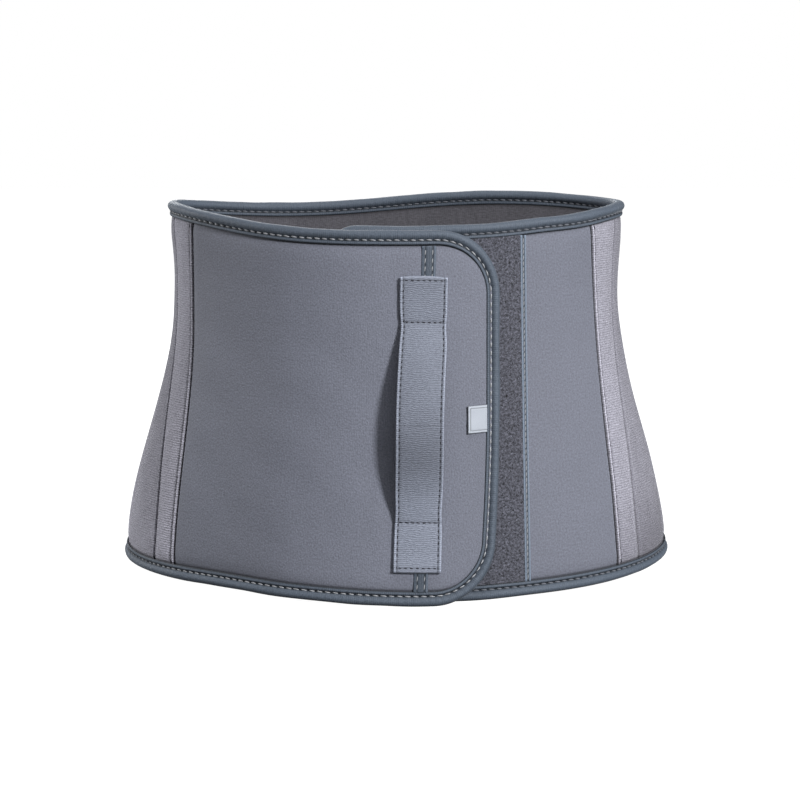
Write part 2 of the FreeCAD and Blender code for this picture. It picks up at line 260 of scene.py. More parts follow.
# ------ paths along the edges
def even_path(family, angle, z):
    """The same path with points 1 mm apart and any kinks softened, and the distance along it."""
    run = run_along(skin(family, angle, z))
    even = np.linspace(0, run[-1], round(run[-1]) + 1)
    angle, z = np.interp(even, run, angle), np.interp(even, run, z)
    for _ in range(6):
        for line in (angle, z):
            line[1:-1] = (line[:-2] + 2 * line[1:-1] + line[2:]) / 4
    return angle, z, even


def rim_path(rim, start, end):
    """A path along one of the tube's rims between two seams, lapping a little over each."""
    first, last = seam_end(start, rim), seam_end(end, rim)
    lap = END_LAP / TYPICAL_RADIUS * np.sign(last - first)
    angle = np.linspace(first - lap, last + lap, 1500)
    return even_path("tube", angle, rim(angle))


def panel_path(panel, seam):
    """The outline of the flap (from the seam along the top, down the free end and back along the
    bottom) or of the underlap (bottom, free end, top)."""
    runs = []
    for upper in (True, False):
        rim = rim_of(panel, upper)
        x_mid, z_mid, radius = corner_centre(panel, upper)
        straight = np.linspace(seam_end(seam, rim), float(front_angle(x_mid, z_mid)), 1200)
        turn = np.linspace(PI / 2, 0, 200)
        x = x_mid + TOWARD_END[panel] * radius * np.cos(turn)
        z_arc = z_mid + (1 if upper else -1) * radius * np.sin(turn)
        tilt = rim(front_angle(x, z_arc)) - rim(front_angle(np.array(x_mid), z_mid))
        z_arc = z_arc + tilt * np.sin(turn) ** 2
        angle = np.concatenate([straight, front_angle(x, z_arc)])
        height = np.concatenate([rim(straight), z_arc])
        runs.append((angle, height))
    z_edge = np.linspace(runs[0][1][-1], runs[1][1][-1], 800)
    edge = front_angle(free_end_x(panel, z_edge), z_edge)
    angle = np.concatenate([runs[0][0], edge, runs[1][0][::-1]])
    height = np.concatenate([runs[0][1], z_edge, runs[1][1][::-1]])
    if panel == "underlap":
        angle, height = angle[::-1], height[::-1]
    return even_path("flap" if panel == "flap" else "tube", angle, height)


def inward(family, angle, z):
    """At each point of a path, the step in angle and height that goes 1 mm in from the edge."""
    along = unit(np.gradient(skin(family, angle, z), axis=0))
    step = np.cross(along, normal(family, angle, z))
    around, up = slopes(family, angle, z)
    g11, g12, g22 = (around ** 2).sum(1), (around * up).sum(1), (up ** 2).sum(1)
    r1, r2 = (step * around).sum(1), (step * up).sum(1)
    det = g11 * g22 - g12 ** 2
    return (r1 * g22 - r2 * g12) / det, (r2 * g11 - r1 * g12) / det


# ------ meshes
def make_object(name, points, faces, uv, material, values=None):
    """A smooth-shaded object from points in mm, faces, per-point UVs in mm and point values."""
    mesh = bpy.data.meshes.new(name)
    mesh.from_pydata((np.asarray(points) * MM).tolist(), [], faces)
    layer = mesh.uv_layers.new(name="UVMap")
    corner = np.zeros(len(mesh.loops), np.int64)
    mesh.loops.foreach_get("vertex_index", corner)
    layer.data.foreach_set("uv", (np.asarray(uv)[corner] * MM).astype(np.float32).ravel())
    for key, value in (values or {}).items():
        attribute = mesh.attributes.new(key, "FLOAT", "POINT")
        attribute.data.foreach_set("value", np.asarray(value, np.float32).ravel())
    mesh.polygons.foreach_set("use_smooth", np.array([len(face) <= 4 for face in faces]))
    mesh.materials.append(material)
    mesh.update()
    thing = bpy.data.objects.new(name, mesh)
    bpy.context.scene.collection.objects.link(thing)
    return thing


def grid_faces(rows, columns, first=0, flip=False, wrap=False):
    """Quads of a grid of points, numbered row by row; wrap joins the last column to the first."""
    faces = []
    for row in range(rows - 1):
        for column in range(columns if wrap else columns - 1):
            after = (column + 1) % columns
            a, b = first + row * columns + column, first + row * columns + after
            quad = (a, b, b + columns, a + columns)
            faces.append(quad[::-1] if flip else quad)
    return faces


def slab(name, outer, inner, uv, material, values):
    """A closed slab between two grids of points of the same size."""
    rows, columns = outer.shape[:2]
    count = rows * columns
    faces = grid_faces(rows, columns) + grid_faces(rows, columns, count, flip=True)
    number = np.arange(count).reshape(rows, columns)
    ring = [*number[0], *number[1:, -1], *number[-1, -2::-1], *number[-2:0:-1, 0]]
    for a, b in zip(ring, ring[1:] + ring[:1]):
        faces.append((b, a, a + count, b + count))
    both = np.concatenate([outer.reshape(-1, 3), inner.reshape(-1, 3)])
    uvs = np.concatenate([uv.reshape(-1, 2)] * 2)
    doubled = {key: np.concatenate([value.ravel()] * 2) for key, value in values.items()}
    return make_object(name, both, faces, uvs, material, doubled)


def sleeve(name, points, uv, material, values):
    """A closed tube from a grid of points: each row is one closed section."""
    rows, columns = points.shape[:2]
    faces = grid_faces(rows, columns, flip=True, wrap=True)
    last = (rows - 1) * columns
    faces += [tuple(range(columns)), tuple(range(last, last + columns))[::-1]]
    return make_object(name, points.reshape(-1, 3), faces, uv.reshape(-1, 2), material, values)


def stitches(name, lines, material, length=3.6, width=0.9, height=0.55, pitch=STITCH_PITCH):
    """Thread stitches along lines, each given as points and normals 1 mm or less apart."""
    around, rings = 6, 5
    turn = np.linspace(0, 2 * PI, around, endpoint=False)
    along = np.linspace(-1, 1, rings)
    size = np.sqrt(1 - (0.92 * along) ** 2)
    points, faces, first = [], [], 0
    for line, normals in lines:
        run = run_along(line)
        count = max(1, round(run[-1] / pitch))
        for centre in (np.arange(count) + 0.5) * run[-1] / count:
            reach = length / 2 * (1 + 0.08 * chance.uniform(-1, 1))
            shift = 0.12 * chance.uniform(-1, 1)
            spots = centre + shift + along * reach
            middle = np.stack([np.interp(spots, run, line[:, i]) for i in range(3)], 1)
            up = np.stack([np.interp(spots, run, normals[:, i]) for i in range(3)], 1)
            across = np.cross(unit(middle[-1] - middle[0]), up)
            middle = middle + (STITCH_SLANT * reach * along)[:, None] * across
            dip = -0.75 * height * along ** 4
            ring = (middle + up * dip[:, None])[:, None, :]
            ring = ring + (size[:, None] * np.cos(turn) * width / 2)[..., None] * across[:, None]
            ring = ring + (size[:, None] * np.sin(turn) * height / 2)[..., None] * up[:, None]
            points.append(ring.reshape(-1, 3))
            faces += grid_faces(rings, around, first, flip=True, wrap=True)
            after = first + rings * around
            faces += [tuple(range(first, first + around)), tuple(range(after - around, after))[::-1]]
            first = after
    points = np.concatenate(points)
    return make_object(name, points, faces, points[:, [0, 2]], material)


# ------ materials
class Paint:
    """A material under construction: adds nodes, links them and does sums with them."""

    def __init__(self, name):
        self.material = bpy.data.materials.new(name)
        self.material.use_nodes = True
        self.tree = self.material.node_tree
        self.shader = self.tree.nodes["Principled BSDF"]
        self.uv = self.node("ShaderNodeTexCoord").outputs["UV"]

    def node(self, kind, **settings):
        made = self.tree.nodes.new(kind)
        for key, value in settings.items():
            setattr(made, key, value)
        return made

    def put(self, value, socket):
        if isinstance(value, bpy.types.NodeSocket):
            self.tree.links.new(value, socket)
        else:
            socket.default_value = value

    def feed(self, node, inputs):
        for name, value in inputs.items():
            self.put(value, node.inputs[name])

    def sum(self, operation, *values):
        made = self.node("ShaderNodeMath", operation=operation)
        for value, socket in zip(values, made.inputs):
            self.put(value, socket)
        return made.outputs[0]

    def total(self, base, *parts):
        """The base plus each (value, amount)."""
        for value, amount in parts:
            base = self.sum("ADD", base, self.sum("MULTIPLY", value, amount))
        return base

    def noise(self, scale, detail=2.0, roughness=0.5, stretch=(1, 1, 1), distortion=0.0):
        """Noise about zero, from -0.5 to 0.5, with scale in features per metre."""
        mapped = self.node("ShaderNodeMapping")
        self.feed(mapped, {"Vector": self.uv, "Scale": stretch})
        made = self.node("ShaderNodeTexNoise")
        self.feed(made, {"Vector": mapped.outputs[0], "Scale": scale, "Detail": detail,
                         "Roughness": roughness, "Distortion": distortion})
        return self.sum("SUBTRACT", made.outputs[0], 0.5)

    def ribs(self, pitch, direction="Y", distortion=0.0, detail_scale=1.0):
        """Ribs across the UVs, from 0 to 1, at a pitch in mm."""
        made = self.node("ShaderNodeTexWave", wave_type="BANDS", bands_direction=direction)
        bands_scale = 2 * PI / (pitch * MM) / 20
        self.feed(made, {"Vector": self.uv, "Scale": bands_scale, "Distortion": distortion,
                         "Detail": 1.5, "Detail Scale": detail_scale})
        return made.outputs["Fac"]

    def point_value(self, name):
        return self.node("ShaderNodeAttribute", attribute_name=name).outputs["Fac"]

    def colour(self, rgb, *parts, marked=True, shade_to=0.12):
        """Base colour from an sRGB triple, varied by each (noise, amount). Marked cloth is lighter
        by a point value that carries painted light and highlights as well as lighter tone, and
        darker by a point value of painted shade."""
        value = self.total(1.0, *parts)
        if marked:
            shade = self.sum("MULTIPLY", self.point_value("shade"), 1 - shade_to)
            value = self.sum("MULTIPLY", value, self.sum("SUBTRACT", 1.0, shade))
            value = self.sum("MULTIPLY", value, self.sum("ADD", 1.0, self.point_value("painted_light_and_tone")))
        made = self.node("ShaderNodeHueSaturation")
        linear = [(level / 255) ** 2.2 for level in rgb]
        self.feed(made, {"Color": (*linear, 1), "Value": value})
        self.feed(self.shader, {"Base Color": made.outputs[0]})

    def bump(self, height, distance, strength=1.0):
        """Adds a bump, its distance in mm, on top of any made before."""
        made = self.node("ShaderNodeBump")
        self.feed(made, {"Distance": distance * MM, "Strength": strength, "Height": height})
        socket = self.shader.inputs["Normal"]
        if socket.is_linked:
            self.put(socket.links[0].from_socket, made.inputs["Normal"])
        self.put(made.outputs[0], socket)

    def finish(self, roughness, sheen=0.0, sheen_roughness=0.4, sheen_tint=(1, 1, 1),
               specular=0.3, metallic=0.0):
        self.feed(self.shader, {
            "Roughness": roughness, "Specular IOR Level": specular, "Metallic": metallic,
            "Sheen Weight": sheen, "Sheen Roughness": sheen_roughness,
            "Sheen Tint": (*sheen_tint, 1)})
        return self.material


def smooth_fabric():
    """Fine knitted jersey laminated to foam: faint stitch grain, soft, almost matt."""
    p = Paint("smooth_jersey")
    broad, patch, grain = p.noise(9, 3), p.noise(90, 4, 0.6), p.noise(820, 3, 0.65)
    knit = p.ribs(1.1, "X", 2.5, 3.0)
    p.colour((113, 116, 128), (broad, 0.10), (patch, 0.12), (grain, 1.15), (knit, 0.02))
    p.bump(p.total(grain, (knit, 0.1)), 0.35, 0.8)
    p.bump(patch, 0.5, 0.5)
    return p.finish(p.total(0.74, (patch, 0.2)), 0.16, 0.45)


def velour():
    """Brushed loop fabric of the sides: short lilac-grey nap that catches the light."""
    p = Paint("side_velour")
    broad, patch = p.noise(14, 3), p.noise(160, 4, 0.65, (1, 0.55, 1))
    nap = p.noise(640, 4, 0.75, (1, 1.2, 1))
    twill = p.sum("SUBTRACT", p.ribs(1.5, "Y", 3.0, 1.6), 0.5)
    p.colour((147, 146, 157), (broad, 0.15), (patch, 0.45), (nap, 2.1), (twill, 0.10))
    p.bump(p.total(nap, (twill, 0.5)), 0.5, 0.9)
    p.bump(patch, 0.5, 0.5)
    return p.finish(0.9, 0.4, 0.35, (0.92, 0.92, 1))


def loop_pile():
    """Hook-and-loop loop fabric: dark, curly and uneven."""
    p = Paint("loop_pile")
    curl = p.noise(760, 2, 0.7, (1, 1, 1), 0.6)
    patch, broad = p.noise(180, 3), p.noise(16, 2)
    p.colour((80, 81, 90), (curl, 4.2), (patch, 0.10), (broad, 0.12))
    p.bump(curl, 0.9, 1.0)
    return p.finish(0.95, 0.35, 0.5)


def binding_fabric():
    """Elastic edge tape: blue-grey, with fine ribs across it."""
    p = Paint("edge_binding")
    ribs, patch, grain = p.ribs(1.3, "X", 1.6, 2.0), p.noise(70, 3), p.noise(850, 3, 0.65)
    broad = p.noise(8, 2)
    p.colour((79, 87, 98), (ribs, 0.03), (patch, 0.14), (grain, 1.0), (broad, 0.12))
    p.bump(p.total(grain, (ribs, 0.3)), 0.3, 0.8)
    return p.finish(p.total(0.6, (patch, 0.3)), 0.22, 0.3, (0.85, 0.93, 1))


def webbing():
    """Woven handle webbing: fine crosswise ribs, bright selvedges, a slight shine."""
    p = Paint("handle_webbing")
    ribs = p.ribs(1.25, "Y", 6.5, 0.7)
    patch, grain = p.noise(60, 3), p.noise(900, 3, 0.65, (0.6, 1, 1))
    p.colour((119, 124, 137), (p.sum("SUBTRACT", ribs, 0.5), 0.16), (patch, 0.18),
             (grain, 1.0))
    p.bump(p.total(grain, (ribs, 0.45)), 0.35, 0.9)
    return p.finish(p.total(0.55, (ribs, 0.15)), 0.25, 0.35)


def lining_fabric():
    """Brushed tricot lining: dark, warm grey, with faint vertical wales."""
    p = Paint("brushed_lining")
    wales = p.ribs(1.4, "X", 1.5, 2.0)
    patch, nap, broad = p.noise(60, 4, 0.6), p.noise(620, 3, 0.7, (0.6, 1.4, 1)), p.noise(10, 2)
    p.colour((89, 88, 94), (wales, 0.02), (patch, 0.4), (nap, 1.3), (broad, 0.10))
    p.bump(p.total(nap, (wales, 0.15)), 0.3, 0.8)
    return p.finish(0.92, 0.25, 0.5, (1, 0.96, 0.93))


def thread(name, rgb):
    """Twisted polyester sewing thread."""
    p = Paint(name)
    twist, patch = p.noise(2600, 2, 0.6, (1, 2.5, 1)), p.noise(120, 2)
    p.colour(rgb, (twist, 0.5), (patch, 0.25), marked=False)
    p.bump(twist, 0.12, 0.8)
    return p.finish(0.5, 0.2, 0.3)


def hook_plastic():
    """Moulded nylon hooks: dark, slightly glossy."""
    p = Paint("hook_plastic")
    patch, grain = p.noise(60, 3), p.noise(900, 2, 0.6)
    p.colour((52, 54, 60), (patch, 0.2), (grain, 0.3))
    p.bump(grain, 0.15, 0.6)
    return p.finish(p.total(0.42, (patch, 0.3)), specular=0.5)


def label_fabric():
    """Woven satin label, near white, with a bright border."""
    p = Paint("label_satin")
    warp, weft = p.ribs(0.35, "X", 0.4, 1.0), p.ribs(0.5, "Y", 0.4, 1.0)
    patch = p.noise(150, 2)
    p.colour((174, 180, 190), (warp, 0.05), (weft, 0.04), (patch, 0.06), shade_to=0.2)
    p.bump(p.sum("ADD", warp, weft), 0.05, 0.6)
    return p.finish(0.45, 0.15, 0.3)


def spring_steel():
    """Flat sprung stays, with brush marks along their length."""
    p = Paint("stay_steel")
    p.uv = p.node("ShaderNodeTexCoord").outputs["Object"]
    brush, patch = p.noise(900, 3, 0.6, (6, 6, 0.1)), p.noise(40, 3)
    p.colour((170, 172, 176), (brush, 0.18), (patch, 0.15), marked=False)
    p.bump(brush, 0.03, 0.5)
    return p.finish(p.sum("ADD", 0.32, p.sum("MULTIPLY", brush, 0.3)), 0.0, metallic=1.0)


JERSEY, VELOUR, LOOP, BINDING = smooth_fabric(), velour(), loop_pile(), binding_fabric()
WEBBING, LINING, HOOK, LABEL = webbing(), lining_fabric(), hook_plastic(), label_fabric()
STEEL = spring_steel()
LIGHT_THREAD = thread("light_thread", (164, 166, 171))
SOFT_THREAD = thread("soft_thread", (116, 119, 127))
GREY_THREAD = thread("grey_thread", (70, 72, 82))
DARK_THREAD = thread("dark_thread", (40, 40, 48))


# ------ how pieces follow the joints
def joint_axis(name):
    """A joint's point and unit axis, in mm."""
    joint = next(j for j in frame["joints"] if j["name"] == name)
    return np.array(joint["pos_m"]) / MM, unit(np.array(joint["axis"], float))


def bend_zone(joint, fixed_seam, beside, turn, length):
    """Start and end of a bend about a joint's axis. It starts where the whole fixed seam still
    stands still, and runs toward a place a turn past another seam, to a length past the axis."""
    point, axis = joint_axis(joint)
    across = skin("tube", beside(MID_HEIGHT) + turn, MID_HEIGHT) - point
    across = unit(across - axis * (across @ axis))
    z = np.linspace(0, HEIGHT, 60)
    seam = skin("tube", fixed_seam(z), z) - point
    start = float((seam @ across).max())
    return tuple((point + start * across) * MM), tuple((point + length * across) * MM)


BENDS = {
    "left_side": ("back", "left_side", bend_zone("left_side_swing", left_4, left_4, 0.4, 45)),
    "right_side": ("back", "right_side", bend_zone("right_side_swing", right_4, right_4, -0.4, 45)),
    "flap": ("left_side", "flap", bend_zone("flap_open", left_2, left_1, 0.25, 30)),
    "underlap": ("right_side", "underlap", bend_zone("underlap_open", right_2, right_1, -0.25, 30)),
}


def follow(piece, motion):
    """Bakes a piece's transform if its motion is one of BENDS, or else makes it ride on the body of
    that name.
    """
    if motion in BENDS:
        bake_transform(piece)
    else:
        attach(piece, motion.removeprefix("on_"))


def enlist(piece, motion, stands_for=()):
    """Hides the CAD nodes that a piece stands for, and makes it follow its motion."""
    if stands_for:
        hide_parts(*stands_for)
    follow(piece, motion)


def sew(name, lines, material, slot, motion, **sizes):
    """Rows of stitches that follow their motion. The slot is not used."""
    enlist(stitches(name, lines, material, **sizes), motion)


# ------ panels
SEAM_STEPS = np.array([0, 0.25, 0.6, 1.0, 1.45, 1.9, 2.4, 2.9, 3.5, 4.2, 5.2, 6.6, 8.4])
RIM_STEPS = np.array([0, 3.0, 5.2, 6.0, 6.6, 7.2, 7.9, 8.8, 10.0, 11.6, 13.8])


def spread(length, steps, spacing, total=None):
    """Distances across a length: fine steps at both ends and even ones between."""
    between = total - 2 * len(steps) if total else max(1, round(length / spacing) - 2)
    share = np.linspace(0, 1, between + 2)[1:-1]
    middle = steps[-1] + (length - 2 * steps[-1]) * share
    return np.concatenate([steps, middle, length - steps[::-1]])


def waves(s, z, amplitude, shortest, longest, count=9):
    """Gentle unevenness of soft fabric."""
    total = np.zeros(np.broadcast(s, z).shape)
    for _ in range(count):
        turn, phase = chance.uniform(0, PI), chance.uniform(0, 2 * PI)
        k = 2 * PI / chance.uniform(shortest, longest)
        total += np.sin(k * (s * np.cos(turn) + z * np.sin(turn)) + phase)
    return amplitude * total / math.sqrt(count)


class Patch:
    """The grid of places that a panel covers, between two seams and two rims."""

    def __init__(self, family, start, end, rims, spacing=3.0, gap=0.0):
        low, top = rims
        self.family = family
        columns = self.columns_at(start, end, (MID_HEIGHT,) * 3, spacing, gap)
        height = float(np.median(top(columns) - low(columns)))
        rise = spread(height, RIM_STEPS, spacing)[:, None]
        near = RIM_STEPS[-1]
        angle = np.repeat(columns[None], len(rise), 0)
        for _ in range(5):
            floor, span = low(angle), top(angle) - low(angle)
            middle = near + (span - 2 * near) * ((rise - near) / (height - 2 * near))
            upper = np.where(rise >= height - near, span - (height - rise), middle)
            z = floor + np.where(rise <= near, rise, upper)
            heights = z[:, [0, len(columns) // 2, -1]]
            angle = np.stack([self.columns_at(start, end, row, spacing, gap, len(columns))
                              for row in heights])
        self.angle, self.z = angle, z
        step = np.linalg.norm(np.diff(skin(family, angle, z), axis=1), axis=2)
        self.left = np.concatenate([np.zeros((len(z), 1)), np.cumsum(step, 1)], 1)
        self.right = self.left[:, -1:] - self.left
        self.e = np.minimum(z - low(angle), top(angle) - z) + PANEL_INSET
        self.uv = np.stack([self.left, z], -1)

    def columns_at(self, start, end, heights, spacing, gap, count=None):
        """The angles of one row, whose heights at its start, middle and end are given. It stops
        short of both seams by a gap, or laps over them where the gap is negative."""
        first, last = float(start(heights[0])), float(end(heights[2]))
        lap = max(-gap, 0) / TYPICAL_RADIUS * math.copysign(1, last - first)
        gap = max(gap, 0)
        fine = np.linspace(first - lap, last + lap, 240)
        z = np.interp(np.linspace(0, 2, len(fine)), (0, 1, 2), heights)
        run = run_along(skin(self.family, fine, z))
        across = spread(run[-1] - 2 * gap, SEAM_STEPS, spacing, count)
        return np.interp(across + gap, run, fine)

    def points(self, k):
        return place(self.family, self.angle, self.z, np.broadcast_to(k, self.angle.shape))


def rim_dip(e):
    """How a cover is pressed down under its binding and swells past it."""
    return -0.35 + 0.6 * smooth((e - BINDING_EDGE) / 7) - 0.45 * bell(e, BINDING_EDGE + 0.4, 0.9)


def seam_shape(d, style):
    """Height, painted highlight and painted shade of a cover at distance d from a seam:
    (k, highlight, shade). The highlight lies on the raised fold beside the seam, the shade in its
    groove.
    """
    if style == "edge":
        return 0 * d, 0 * d, 0 * d
    if style == "plain":
        k = -1.3 * (1 - smooth((d - 0.2) / 1.2)) - 0.15 * bell(d, 2.4, 1.2)
        return k, 0.22 * bell(d, 1.4, 0.4), 1 - smooth((d - 0.3) / 0.5)
    if style.endswith("welt"):
        k = -1.2 * (1 - smooth((d - 0.1) / 0.8)) + 0.4 * bell(d, 1.6, 0.8)
        k = k - 0.6 * bell(d, 3.0, 0.6)
        light = 1.1 * bell(d, 1.5, 0.32) if style == "bright welt" else 0.3 * bell(d, 1.8, 0.7)
        return k, light, 1 - smooth((d - 0.35) / 0.45) + 0.55 * bell(d, 3.0, 0.5)
    k = -0.7 * (1 - smooth(d / 2.4)) - 0.1 * bell(d, 4, 2)
    return k, 0.12 * bell(d, 2.6, 0.8), 0.35 * (1 - smooth((d - 0.2) / 1.2))


def calm_beside(patch, spans):
    """0 where a cover is held flat by what is sewn over it, between the x of each span, else 1."""
    x = skin(patch.family, patch.angle, patch.z)[..., 0]
    calm = np.ones_like(x)
    for low, high in spans:
        calm = calm * smooth(np.maximum(low - x, x - high) / 8)
    return calm


def soft_panel(name, patch, material, motion, styles, stands_for, swell=0.25,
               wave=(0.22, 35, 110), held=(), tone=0.0):
    """A cover over its foam: pressed in at the rims and seams, swelling between them. Its colour
    takes the tone it is given, painted highlights and shade at its seams, and painted shade along
    the binding's inner edge.
    """
    k_left, highlight_left, shade_left = seam_shape(patch.left, styles[0])
    k_right, highlight_right, shade_right = seam_shape(patch.right, styles[1])
    nearest = np.minimum(np.minimum(patch.left, patch.right), np.maximum(patch.e - 8, 0))
    soft = swell * smooth(nearest / 22) + waves(patch.left, patch.z, *wave) * smooth(nearest / 12)
    k = rim_dip(patch.e) + k_left + k_right + soft * calm_beside(patch, held)
    shade = np.clip(shade_left + shade_right + 0.95 * bell(patch.e, BINDING_EDGE + 0.3, 0.65), 0, 1)
    inner = np.minimum(COVER_BACK_K, k - 0.3)
    piece = slab(name, patch.points(k), patch.points(inner), patch.uv, material,
                 {"painted_light_and_tone": tone + highlight_left + highlight_right, "shade": shade})
    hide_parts(*stands_for)
    follow(piece, motion)


def lining(name, patch, motion, stands_for):
    """The inner face of a panel: napped cloth, slightly wavy, with painted shade beside the binding.
    """
    k = LINING_IN_K - 0.22 + waves(patch.left, patch.z, 0.16, 25, 90)
    pressed = LINING_IN_K + 0.1 * smooth((BINDING_EDGE - patch.e) / 3)
    k = np.where(patch.e < BINDING_EDGE, np.minimum(pressed, k + 0.3), k)
    k = np.minimum(k, LINING_OUT_K - 0.4)
    shade = 0.6 * bell(patch.e, BINDING_EDGE + 0.2, 1.2)
    piece = slab(name, patch.points(LINING_OUT_K), patch.points(k), patch.uv, LINING,
                 {"painted_light_and_tone": 0 * k, "shade": shade})
    if stands_for:
        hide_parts(*stands_for)
    follow(piece, motion)


# ------ bindings
LEG = [(8.2, 0.02), (8.35, 0.3), (8.15, 0.62), (7.7, 0.82), (7.1, 0.88), (6.6, 0.78),
       (6.25, 0.5), (5.9, 0.22), (5.55, 0.14), (5.2, 0.28), (4.85, 0.68), (4.4, 1.1),
       (3.7, 1.5), (2.9, 1.72), (2.1, 1.7), (1.35, 1.4), (0.75, 0.85), (0.3, 0.1),
       (0.0, -0.9), (-0.1, MIDDLE_K)]
GROOVE = 6.15  # how far in from the edge the stitches pull the binding down
STITCH_RISE = 0.42


def binding(name, family, path, motion, stands_for, sewn_with=SOFT_THREAD):
    """Tape folded over an edge, and the two rows of stitches that hold its legs."""
    angle, z, run = path
    in_angle, in_z = inward(family, angle, z)
    outer = np.array(LEG) * (BINDING_EDGE / LEG[0][0], 1)
    mirrored = outer[-2::-1] * (1, -1) + (0, 2 * MIDDLE_K)
    inside = np.array([(1.3, 2 * MIDDLE_K), (1.3, 0.0)])
    profile = np.concatenate([outer, mirrored, inside])
    e, k = profile.T
    side = np.where(np.arange(len(e)) < len(LEG), 1, -1)
    side[-2:] = 0
    fade = smooth(np.minimum(run, run[-1] - run) / 10)
    wobble = (waves(run, 0 * run, 0.16, 18, 80) * fade)[:, None]
    stitch = run / run[-1] * round(run[-1] / STITCH_PITCH) - 0.5
    rhythm = np.cos(2 * PI * stitch)[:, None]
    holes = 0.5 - 0.5 * rhythm
    tuck = -0.22 * holes * bell(e, GROOVE, 0.9)
    plump = 0.10 * rhythm * bell(e, 3.7, 1.7)
    depth_k = k + side * (tuck + plump + wobble * bell(e, 3, 2.5))
    inset = e + wobble * 0.9 * smooth((3 - e) / 3)
    points = place(family, angle[:, None] + inset * in_angle[:, None],
                   z[:, None] + inset * in_z[:, None], depth_k)
    uv = np.stack(np.broadcast_arrays(run[:, None], run_along(profile)), -1)
    # Painted highlights on the roll and along the leg's inner edge; painted shade in the stitch
    # groove, in the tucks between stitches, at the gap along the leg's inner edge and under the fold
    # of a bottom binding.
    painted_light_and_tone = (0.6 * bell(e, 8.05, 0.35) + 0.30 * bell(e, 3.0, 1.2)) * (side != 0) + 0 * rhythm
    under = np.clip(in_z, 0, 1)[:, None]
    shade = 0.75 * bell(e, GROOVE + 0.35, 0.7) + 0.95 * bell(e, 9.1, 0.35)
    shade = shade + 0.8 * holes ** 2 * bell(e, GROOVE, 0.75)
    shade = np.clip(shade + 0.75 * under * bell(e, -0.1, 0.7), 0, 0.95)
    piece = sleeve(name, points, uv, BINDING, {"painted_light_and_tone": painted_light_and_tone, "shade": shade})
    enlist(piece, motion, stands_for)
    row = angle + GROOVE * in_angle, z + GROOVE * in_z
    lines = []
    for side_k, flip in ((STITCH_RISE, 1), (2 * MIDDLE_K - STITCH_RISE, -1)):
        lines.append((place(family, *row, side_k + 0 * z), flip * normal(family, *row)))
    sew(f"{name}_stitches", lines, sewn_with, "binding", motion)


def rim_bindings(name, body, motion, start, end):
    """The upper and the lower binding of a body, between two seams."""
    for part, rim, seams in (("top", top_rim, (start, end)), ("bottom", low_rim, (end, start))):
        binding(f"{name}_{part}_edge", "tube", rim_path(rim, *seams), motion,
                (f"{body}_{part}_binding",))


# ------ tapes and lines of stitches
def turn_for(family, angle, z, distance):
    """The change of angle that moves a place round by a distance."""
    return distance / np.linalg.norm(slopes(family, angle, z)[0], axis=-1)


def seam_line(family, seam, z_low, z_high, offset, k):
    """Points and normals along a seam, a distance to its right, at height k."""
    z = np.arange(z_low, z_high, 0.8)
    angle = seam(z) + turn_for(family, seam(z), z, offset)
    return place(family, angle, z, k + 0 * z), normal(family, angle, z)


def tape(name, family, centre, width, z_low, z_high, material, motion, stands_for, slot,
         base_k, thick, rows, groove=0.25, thread_material=LIGHT_THREAD, edge_highlight_and_wear=0.3,
         pitch=STITCH_PITCH, tone=0.0):
    """A tape sewn down along a line: raised, with lighter edges (painted highlights and wear),
    painted shade in its stitch grooves and along its sides, and rows of stitches.
    """
    z = np.arange(z_low, z_high + 0.5, 1.2)[:, None]
    across = np.linspace(-1, 1, 25)
    angle = centre(z) + turn_for(family, centre(z), z, width / 2) * across
    level = z + 0 * across
    dips = sum(bell(np.abs(across), row, 0.9 / width) for row in rows)
    phase = 2 * PI * (z - z_low - pitch / 2) / pitch
    k = base_k + thick * (1 - np.abs(across) ** 10)
    k = k - groove * dips * (1 + 0.35 * (1 - np.cos(phase)))
    outer = place(family, angle, level, k)
    inner = place(family, angle, level, base_k - 0.35 + 0 * k)
    uv = np.stack([across * width / 2 + 0 * level, level], -1)
    painted_light_and_tone = tone + edge_highlight_and_wear * bell(np.abs(across), 1 - 1.2 / width, 0.9 / width) + 0 * level
    shade = 0.7 * dips + 0.9 * (np.abs(across) > 0.99) + 0 * level
    piece = slab(name, outer, inner, uv, material, {"painted_light_and_tone": painted_light_and_tone, "shade": np.clip(shade, 0, 1)})
    enlist(piece, motion, stands_for)
    lines = []
    for row in rows:
        for sign in ((-1, 1) if row > 0 else (1,)):
            lines.append(seam_line(family, centre, z_low + 1, z_high - 1,
                                   sign * row * width / 2, base_k + thick - groove + 0.12))
    sew(f"{name}_stitches", lines, thread_material, slot, motion, width=0.6, height=0.4,
        pitch=pitch)


def sewn_row(name, seam, offset, motion):
    """A row of stitches beside a seam of a side, between the two bindings."""
    top = float(top_rim(seam(230.0))) - BINDING_EDGE
    low = float(low_rim(seam(5.0))) + BINDING_EDGE
    sew(name, [seam_line("tube", seam, low, top, offset, -0.1)], DARK_THREAD, "velour", motion,
        length=2.6, width=0.75, height=0.4, pitch=4.2)


# ------ the pieces
def tube_patch(ends, **sizes):
    rims = (lambda angle: low_rim(angle) + PANEL_INSET), (lambda angle: top_rim(angle) - PANEL_INSET)
    return Patch("tube", *ends, rims, **sizes)


def build_back():
    whole = right_4, (lambda z: left_4(z) + 2 * PI)
    soft_panel("back_panel", tube_patch(whole, gap=0.1), JERSEY, "on_back", ("plain", "plain"),
               ("back_cover", "back_core"))
    lining("back_lining_cloth", tube_patch(whole, gap=-LINING_LAP), "on_back", ("back_lining",))
    rim_bindings("back", "back", "on_back", *whole)
    for number, x in enumerate((-63, -21, 21, 63), start=1):
        centre = (lambda z, x=x: 2 * PI - front_angle(x, z))
        tape(f"back_channel_{number}", "tube", centre, 13, 8.6, 233, BINDING, "on_back",
             (f"back_stay_channel_{number}",), "binding", rows=(0.7,), base_k=0.15, thick=0.75)


